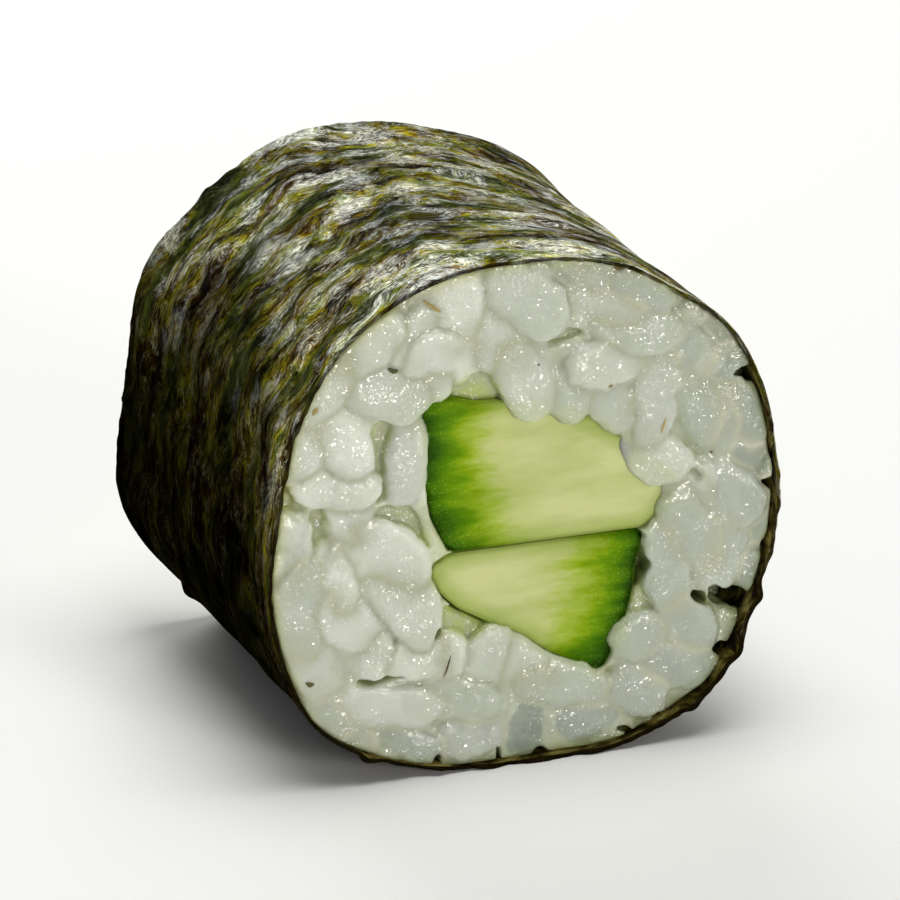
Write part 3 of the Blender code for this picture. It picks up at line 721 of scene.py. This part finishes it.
def grain_field(grains, axes, warp, rng, cut=True):
    """Nearest and second nearest distance to a grain, and the nearest one's tone and glass.

    A grain is a slightly bent, squarish ellipsoid: k is the sum of (|p| / r)^n to the
    power 1 / n, and the distance is close to k - 1 over the length of k's gradient. The
    knife's plane trims it, with a rounded edge. warp shifts x and z unevenly, so that no
    two outlines are alike.
    """
    shape = [len(a) for a in axes]
    near, second = np.full(shape, 9.0, np.float32), np.full(shape, 9.0, np.float32)
    tone, glass = np.full(shape, 0.5, np.float32), np.zeros(shape, np.float32)
    for x, z, length, width, turn, sink, clear in grains:
        sink = sink + rng.uniform(0, 0.14) * cut
        half = np.array((length * FULLNESS, width * 0.95, width * FULLNESS)) / 2
        whole = sink > 0.32 or not cut
        behind = half[2] if whole else rng.uniform(0.36, 0.5) * half[2] * (1 + clear)
        middle = np.array((x, CROWN + sink + behind, z))
        pitch_angle = rng.uniform(-0.12, 0.12) if cut else rng.uniform(-0.5, 0.5)
        slope = rng.normal(0, 0.07, 2)
        bend = rng.uniform(-0.06, 0.06)
        shade = np.clip(0.5 + rng.normal(0, 0.25), 0, 1)
        reach = length / 2 + 0.5
        part = tuple(slice(*np.searchsorted(a, (m - reach, m + reach))) for a, m in zip(axes, middle))
        if any(s.stop - s.start < 2 for s in part):
            continue
        px, py, pz = np.meshgrid(*(a[s] - m for a, s, m in zip(axes, part, middle)), indexing="ij")
        px, pz = px + warp[0][part], pz + warp[1][part]
        c, s = np.cos(np.radians(turn)), np.sin(np.radians(turn))
        along, across = px * c + pz * s, -px * s + pz * c
        along, deep = (along * np.cos(pitch_angle) + py * np.sin(pitch_angle),
                       -along * np.sin(pitch_angle) + py * np.cos(pitch_angle))
        across = across - bend * (along**2 - 0.3 * half[0]**2)
        p = SQUARENESS
        parts = [np.abs(v) / h + 1e-6 for v, h in zip((along, deep, across), half)]
        k = sum(q**p for q in parts) ** (1 / p)
        steep = np.sqrt(sum((q**(p - 1) / h)**2 for q, h in zip(parts, half))) / k**(p - 1)
        distance = (k - 1) / steep
        if not whole:
            plane = -(py + behind) + slope[0] * px + slope[1] * pz
            distance = -melt(-distance, -plane, 4 * CUT_ROUNDING)
        here = near[part]
        second[part] = np.minimum(second[part], np.maximum(here, distance))
        closer = distance < here
        tone[part] = np.where(closer, shade, tone[part])
        glass[part] = np.where(closer, clear**0.75, glass[part])
        near[part] = np.minimum(here, distance)
    return near, second, tone, glass


def well_field(wells, axes, warp):
    """Distance to the nearest well: a turned ellipse in (x, z), open to the cut face and
    made uneven by the warp."""
    x, y, z = np.meshgrid(*axes, indexing="ij", sparse=True)
    x, z = x + warp[0], z + warp[1]
    total = np.full([len(a) for a in axes], 9.0, np.float32)
    for cx, cz, wide, high, turn, depth in wells:
        c, s = np.cos(np.radians(turn)), np.sin(np.radians(turn))
        u = ((x - cx) * c + (z - cz) * s) / wide
        v = (-(x - cx) * s + (z - cz) * c) / high
        k = np.sqrt(u * u + v * v) + 1e-6
        ring = (k - 1) * k / np.sqrt((u / wide)**2 + (v / high)**2 + 1e-9)
        total = np.minimum(total, np.maximum(ring, y - depth))
    return total


def polygon_distance(x, z, line):
    """Signed distance from points to a closed outline, negative inside it."""
    point = np.column_stack((x.ravel(), z.ravel()))
    best, odd = np.full(len(point), 99.0), np.zeros(len(point), bool)
    for a, b in zip(line, np.roll(line, -1, axis=0)):
        edge = b - a
        off = point - a
        t = np.clip(off @ edge / (edge @ edge), 0, 1)
        best = np.minimum(best, np.hypot(*(off - t[:, None] * edge).T))
        if a[1] != b[1]:
            crosses = (point[:, 1] >= a[1]) != (point[:, 1] >= b[1])
            odd ^= crosses & (point[:, 0] < a[0] + (point[:, 1] - a[1]) * edge[0] / edge[1])
    return np.where(odd, -best, best).reshape(x.shape)


def make_rice_face(name, end, grains, wells, hollows, sections, material, rng):
    """A slab of grains at one cut face, solid behind its first surface.

    The field is worked out in (x, depth behind the cut, z). Taking the least value met on
    the way in from the cut fills what lies behind a grain. Sticks, wrap and wells are
    then taken out, and the slab is closed off behind.
    """
    axes = (np.arange(-13.8, 13.9, CELL), np.arange(-0.36, SLAB_DEPTH + 0.3, CELL), np.arange(-0.24, 27.0, CELL))
    warp = [0.17 * lumps(axes, (1.1, 1.1, 1.1), rng) + 0.14 * lumps(axes, (0.5, 0.5, 0.5), rng)
            + 0.07 * lumps(axes, (0.28, 0.28, 0.28), rng) for _ in (0, 1)]
    tear = [0.3 * lumps(axes, (0.8, 1.5, 0.8), rng) + 0.14 * lumps(axes, (0.32, 0.8, 0.32), rng) for _ in (0, 1)]
    near, second, tone, glass = grain_field(grains, axes, warp, rng)
    filler = random_grains(2.3, (0.12, 0.4), rng, length=3.6, width=2.4)
    filled = grain_field(filler, axes, warp, rng, cut=False)
    under = np.vstack((random_grains(2.7, (0.9, 1.5), rng), random_grains(2.6, (2.0, 2.8), rng)))
    deeper = grain_field(under, axes, warp, rng, cut=False)
    x, z = np.meshgrid(axes[0], axes[2], indexing="ij")
    depth = axes[1][None, :, None]
    stick = np.minimum(*[polygon_distance(x, z, s) for s in sections])[:, None, :] - STICK_CLEARANCE
    crease = np.exp(-np.maximum(second - near, 0) / 0.3)
    field = melt(near, second, 0.1)
    layer = melt(filled[0], filled[1], 0.15)
    gap = np.minimum(well_field([h + (9.0,) for h in hollows], axes, tear), stick - 0.1)
    layer = -melt(-layer, gap, 0.3)
    level = depth - 0.1 * lumps(axes, (1.3, 1.3, 1.3), rng)
    loose = 0.25 * np.clip((x - 4) / 4, 0, 1)[:, None, :]
    paste = -melt(level - 0.46 - loose, gap, 0.3)
    paste = melt(paste, -melt(level - 0.85, stick - 0.2, 0.3), 0.2)
    for other, (_, _, c, d) in ((layer, filled), (melt(deeper[0], deeper[1], 0.2), deeper)):
        nearer = other < field
        tone, glass = np.where(nearer, c, tone), np.where(nearer, 0.3 * d, glass)
        field = melt(field, other, 0.1)
    field = melt(field, paste, 0.16)
    field += 0.03 * lumps(axes, (0.6, 0.6, 0.6), rng) + 0.015 * lumps(axes, (0.25, 0.25, 0.25), rng)
    field = np.minimum.accumulate(field, axis=1)
    field = np.maximum(field, np.minimum(-stick, depth - STICK_FACE + STICK_CLEARANCE))
    y_here = FRONT_Y + axes[1] if end < 0 else BACK_Y - axes[1]
    angle = np.arctan2(z - HEART[1], x - HEART[0])
    radius = np.hypot(x - HEART[0], z - HEART[1])
    wall = np.stack([radius - wrap_radius(angle, y) for y in y_here], axis=1)
    inset = sheet_thickness(angle) + NORI_CLEARANCE
    wall = np.maximum(wall + inset[:, None, :], (inset - z)[:, None, :])
    field = -melt(-field, -wall, 0.2)
    if wells:
        field = -melt(-field, well_field(wells, axes, tear), 0.12)
    field = np.maximum(field, depth - SLAB_DEPTH)
    points, quads = zero_surface(field, axes)
    deep = points[:, 1].copy()
    tones_and_shade, glass_and_shade = sample(tone, axes, points), sample(glass, axes, points)
    creases = sample(crease, axes, points)
    points[:, 1] = FRONT_Y + points[:, 1] if end < 0 else BACK_Y - points[:, 1]
    if end > 0:
        quads = quads[:, ::-1]
    edge = sample(wall, axes, points)
    apart = sample(stick + 0 * field, axes, points)
    # Painted shade: sink grows deeper behind the cut and close to the nori, and darkens the rice's colour there.
    sink = np.clip((deep - 0.3) / 1.5, 0, 1) + 0.45 * np.exp(edge / 0.3)
    # Painted green light: green grows near the sticks, deep behind the cut and in the listed spots.
    green = np.clip(1.2 - apart / 1.8, 0, 1) * np.clip((deep - 0.45) / 0.6, 0, 1)
    green = np.maximum(green, 0.3 * np.exp(-np.maximum(apart, 0) / 0.3))
    for spot_x, spot_z, wide, high in PAINTED_GREEN_SPOTS if end < 0 else []:
        green_glow = np.exp(-((points[:, 0] - spot_x) / wide)**2 - ((points[:, 2] - spot_z) / high)**2)
        green = np.maximum(green, green_glow * np.clip((deep - 0.15) / 0.3, 0, 1) * np.clip(1.8 - apart, 0, 1))
    # Painted shade: the tone darkens towards the right, and the grains on the right and low down get more of the
    # darker glassy colour.
    tones_and_shade = np.clip(tones_and_shade - 0.035 * (points[:, 0] + 2.0), 0, 1)
    shaded_side = np.clip((points[:, 0] - 5) / 5, 0, 1) + 0.5 * np.clip((4 - points[:, 2]) / 3, 0, 1)
    glass_and_shade = np.maximum(glass_and_shade, 0.95 * np.clip(shaded_side, 0, 1) * np.exp(np.minimum(edge, 0) / 1.5))
    return make_piece(name, points, quads, material,
                      {"tone": tones_and_shade, "clear": glass_and_shade, "sink": sink, "crease": creases, "green": green})


def thin_out(piece, limit):
    """Collapses the least needed edges until a piece has no more triangles than the limit."""
    piece.data.calc_loop_triangles()
    count = len(piece.data.loop_triangles)
    if count <= limit:
        return
    modifier = piece.modifiers.new("thin", "DECIMATE")
    modifier.ratio = limit / count
    modifier.use_collapse_triangulate = True
    bpy.context.view_layer.update()
    graph = bpy.context.evaluated_depsgraph_get()
    mesh = bpy.data.meshes.new_from_object(piece.evaluated_get(graph))
    piece.modifiers.clear()
    piece.data = mesh
    mesh.shade_smooth()


def make_rice_core(sections, material):
    """The rice between the two slabs: a plain tube from the sticks out to the nori."""
    angles = np.arange(120) * 2 * np.pi / 120
    heart = np.array((0.6, 12.0))
    ray = np.column_stack((np.cos(angles), np.sin(angles)))
    point = np.vstack(sections) - heart
    along = ray @ point.T
    across = np.sum(point**2, axis=1) - along**2
    reach = 0.5
    hit = np.where((across < reach**2) & (along > 0), along + np.sqrt(np.clip(reach**2 - across, 0, None)), 0)
    hole = heart + ray * np.max(hit, axis=1)[:, None]
    rows = []
    for y, outer in ((-9.0, False), (-9.0, True), (0.0, True), (9.0, True), (9.0, False), (0.0, False)):
        if outer:
            radius = wrap_radius(angles, np.full(120, y)) - sheet_thickness(angles) - 0.3
            line = np.array(HEART) + ray * radius[:, None]
        else:
            line = hole
        rows.append(np.column_stack((line[:, 0], np.full(120, y), line[:, 1])))
    i, j = np.meshgrid(np.arange(len(rows)), np.arange(120), indexing="ij")
    down, right = (i + 1) % len(rows), (j + 1) % 120
    quads = np.stack((i * 120 + j, down * 120 + j, down * 120 + right, i * 120 + right), axis=-1)
    # sink 1 gives the core the darkest painted shade of deep rice.
    return make_piece("rice_core", np.vstack(rows), quads.reshape(-1, 4)[:, ::-1], material,
                      {"tone": np.full(720, 0.5), "clear": np.zeros(720), "sink": np.ones(720),
                       "crease": np.zeros(720), "green": np.zeros(720)})


# --- flecks -------------------------------------------------------------------
def make_flecks(flecks, rice_face, material, rng):
    """Scraps of nori and bran on the cut rice: thin uneven discs that follow its surface.

    A scrap's rim is an ellipse whose radius wavers, and its rings are drawn in towards its
    middle. The front skin stands proud of the rice and the back skin lies in it.
    """
    surface = np.empty(len(rice_face.data.vertices) * 3, np.float32)
    rice_face.data.vertices.foreach_get("co", surface)
    surface = surface.reshape(-1, 3) / MM
    surface = surface[surface[:, 1] < FRONT_Y + 0.6 * SLAB_DEPTH]
    count, shares = 16, (0.05, 0.5, 0.85, 1.0)
    turn = np.arange(count) * 2 * np.pi / count
    points, faces, tints = [], [], []
    for x, z, long, wide, lean, tint in flecks:
        waver = 1 + 0.25 * np.interp(turn, np.arange(8) * np.pi / 4, rng.uniform(-1, 1, 8), period=2 * np.pi)
        c, s = np.cos(np.radians(lean)), np.sin(np.radians(lean))
        u, v = 0.5 * long * waver * np.cos(turn), 0.5 * wide * waver * np.sin(turn)
        flat = np.stack((u * c - v * s, u * s + v * c), axis=1)
        near = surface[np.hypot(surface[:, 0] - x, surface[:, 2] - z) < long + 0.5]
        skins = []
        for lift in (0.05, -0.12):
            for share in shares if lift > 0 else shares[::-1]:
                at = np.array((x, z)) + flat * share
                nearest = np.argmin(np.hypot(near[:, 0] - at[:, :1], near[:, 2] - at[:, 1:]), axis=1)
                depth = near[nearest, 1] - lift * (1.2 - share if lift > 0 else 1.0)
                skins.append(np.column_stack((at[:, 0], depth, at[:, 1])))
        rows = len(skins)
        i, j = np.meshgrid(np.arange(rows), np.arange(count), indexing="ij")
        down, right = (i + 1) % rows, (j + 1) % count
        base = len(points) * rows * count
        faces.append((base + np.stack((i * count + j, i * count + right, down * count + right, down * count + j),
                                      axis=-1)).reshape(-1, 4))
        points.append(np.vstack(skins))
        tints.append(np.full(rows * count, tint))
    return make_piece("rice_flecks", np.vstack(points), np.vstack(faces), material, {"tint": np.concatenate(tints)})


# --- cucumber -----------------------------------------------------------------
def filled_outline(line, step=0.35):
    """The flat face inside an outline: its points, which are the outline's and then those of
    a grid, and its triangles."""
    x, z = np.meshgrid(np.arange(-13, 13, step), np.arange(0, 27, step))
    inside = polygon_distance(x, z, line) < -0.6 * step
    points = np.vstack((line, np.column_stack((x[inside], z[inside]))))
    ring = [(i, (i + 1) % len(line)) for i in range(len(line))]
    result = delaunay_2d_cdt([Vector(p) for p in points.tolist()], ring, [], 1, 1e-6)
    given = np.array([sources[0] if sources else np.argmin(np.hypot(*(points - spot).T))
                      for spot, sources in zip(np.array(result[0]), result[3])])
    triangles = given[np.array(result[2])]
    whole = np.all(triangles != np.roll(triangles, 1, axis=1), axis=1)
    return points, triangles[whole]


def make_cucumber(name, node, skin_towards, material):
    """A cucumber stick: its outline carried from the front cut to the back cut.

    Near each cut the outline is drawn in by a quarter circle, and a flat face closes it.
    Each point knows its distance to the skin side and to the outline.
    """
    front, back = read_section(node, -1), read_section(node, 1)
    low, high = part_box(node)
    y0, y1 = low.y / MM, high.y / MM
    count = len(front)
    line = np.roll(front, -1, axis=0) - np.roll(front, 1, axis=0)
    normal = np.column_stack((line[:, 1], -line[:, 0]))
    normal /= np.linalg.norm(normal, axis=1)[:, None]
    towards = np.array(skin_towards) / np.hypot(*skin_towards)
    skin = front[normal @ towards > 0.72]
    corner = np.linspace(0, np.pi / 2, 4)
    y = np.concatenate((y0 + STICK_EASE * (1 - np.cos(corner)), y0 + (y1 - y0) * np.linspace(0.03, 0.97, 30),
                        y1 - STICK_EASE * (1 - np.cos(corner[::-1]))))
    drawn_in = np.concatenate((STICK_EASE * (1 - np.sin(corner)), np.zeros(30),
                               STICK_EASE * (1 - np.sin(corner[::-1]))))
    share = np.clip((y - y0) / (y1 - y0), 0, 1)[:, None, None]
    section = front * (1 - share) + back * share - normal * drawn_in[:, None, None]
    rows = np.stack((section[..., 0], np.broadcast_to(y[:, None], section.shape[:2]), section[..., 1]), axis=-1)
    total = len(rows)
    i, j = np.meshgrid(np.arange(total - 1), np.arange(count), indexing="ij")
    right = (j + 1) % count
    sides = np.stack((i * count + j, i * count + right, (i + 1) * count + right, (i + 1) * count + j), axis=-1)
    sides = sides.reshape(-1, 4)
    faces = [sides[:, [0, 1, 2]], sides[:, [0, 2, 3]]]
    points = [rows.reshape(-1, 3)]
    start = total * count
    for row, depth, order in ((0, y0, 1), (total - 1, y1, -1)):
        flat, triangles = filled_outline(section[row])
        number = np.concatenate((row * count + np.arange(count), start + np.arange(len(flat) - count)))
        faces.append(number[triangles][:, ::order])
        grid = flat[count:]
        points.append(np.column_stack((grid[:, 0], np.full(len(grid), depth), grid[:, 1])))
        start += len(grid)
    points = np.vstack(points)
    drift = (back - front).mean(0) * np.clip((points[:, 1:2] - y0) / (y1 - y0), 0, 1)
    here = points[:, [0, 2]] - drift
    away = np.min([np.hypot(*(here - p).T) for p in skin], axis=0)
    edge = np.min([np.hypot(*(here - p).T) for p in front], axis=0)
    return make_piece(name, points, np.vstack(faces), material, {"skin_depth": away, "edge_depth": edge})


# --- the roll -----------------------------------------------------------------
rice = cooked_rice()
cucumber = fresh_cucumber()
nori = toasted_nori()

settle(make_nori(nori), "nori_wrap")

sections_front = [read_section(n, -1) for n in ("cucumber_upper", "cucumber_lower")]
sections_back = [read_section(n, 1) for n in ("cucumber_upper", "cucumber_lower")]
rng = np.random.default_rng(SEED)
front_face = make_rice_face("rice_front", -1, FRONT_GRAINS, FRONT_WELLS, FRONT_HOLLOWS, sections_front, rice, rng)
back_grains = random_grains(2.9, (0.0, 0.3), rng)
clear_of = np.min([polygon_distance(back_grains[:, 0], back_grains[:, 1], s) for s in sections_back], axis=0)
back_grains = back_grains[clear_of > 0.9]
back_face = make_rice_face("rice_back", 1, back_grains, [], [], sections_back, rice, rng)
for face in (front_face, back_face):
    thin_out(face, GRAIN_TRIANGLES)
    settle(face, "rice")
settle(make_rice_core(sections_front, rice), "rice")
settle(make_flecks(FRONT_FLECKS, front_face, dried_scrap(), rng), "rice")
settle(make_cucumber("cucumber_stick_upper", "cucumber_upper", (-1.0, -0.1), cucumber),
       "cucumber_upper")
settle(make_cucumber("cucumber_stick_lower", "cucumber_lower", (1.0, -0.3), cucumber),
       "cucumber_lower")

# --- floor, light and camera --------------------------------------------------
FLOOR_HALF = 1.5


def make_floor():
    """A pale matt floor under the roll."""
    material, tree, shader = new_material("matt_white_board")
    shader.inputs["Base Color"].default_value = linear("FAFAF8")
    shader.inputs["Roughness"].default_value = 0.9
    mesh = bpy.data.meshes.new("floor")
    h = FLOOR_HALF
    mesh.from_pydata([(-h, -h, 0), (h, -h, 0), (h, h, 0), (-h, h, 0)], [], [(0, 1, 2, 3)])
    mesh.materials.append(material)
    floor = bpy.data.objects.new("floor", mesh)
    bpy.context.scene.collection.objects.link(floor)


def aim(thing, place, target):
    """Puts a lamp or camera at a place with its -Z axis towards the target, both in mm."""
    place, target = Vector(place) * MM, Vector(target) * MM
    turn = (place - target).to_track_quat("Z", "Y").to_matrix().to_4x4()
    thing.matrix_world = Matrix.Translation(place) @ turn


def make_lamp(name, place, target, size, power, colour, spread=180):
    """A square softbox, whose beam may be narrowed to a spread in degrees."""
    lamp = bpy.data.lights.new(name, "AREA")
    lamp.shape = "SQUARE"
    lamp.size = size * MM
    lamp.energy = power
    lamp.color = linear(colour)[:3]
    lamp.spread = np.radians(spread)
    thing = bpy.data.objects.new(name, lamp)
    bpy.context.scene.collection.objects.link(thing)
    aim(thing, place, target)


make_floor()
make_lamp("key", (120, -400, 95), (0, 0, 13), 90, 0.6, "FFFBF4")
make_lamp("overhead", (20, -40, 430), (0, 0, 13), 300, 1.2, "FFFFFF")
make_lamp("back_sheen", (10, 330, 190), (0, 0, 20), 280, 0.8, "FFFFF8")

world = bpy.data.worlds.new("pale_room")
bpy.context.scene.world = world
world.use_nodes = True
world.node_tree.nodes["Background"].inputs[0].default_value = linear("F6F8FA")
world.node_tree.nodes["Background"].inputs[1].default_value = 0.14

camera_data = bpy.data.cameras.new("camera")
camera_data.lens = 268.0
camera_data.sensor_width = 36.0
camera_data.clip_end = 10.0
camera = bpy.data.objects.new("camera", camera_data)
bpy.context.scene.collection.objects.link(camera)
VIEW_RISE, VIEW_TURN = np.radians(20.0), np.radians(20.3)
VIEW_DISTANCE = 330.25
right = np.array((np.cos(VIEW_TURN), -np.sin(VIEW_TURN), 0.0))
ahead = np.array((np.sin(VIEW_TURN) * np.cos(VIEW_RISE), np.cos(VIEW_TURN) * np.cos(VIEW_RISE), -np.sin(VIEW_RISE)))
up = np.cross(right, ahead)
VIEW_CENTRE = np.array((-0.08, FRONT_Y, 13.31)) - 3.795 * right + 3.204 * up
aim(camera, VIEW_CENTRE - VIEW_DISTANCE * ahead, VIEW_CENTRE)
bpy.context.scene.camera = camera
bpy.context.scene.view_settings.view_transform = "Standard"
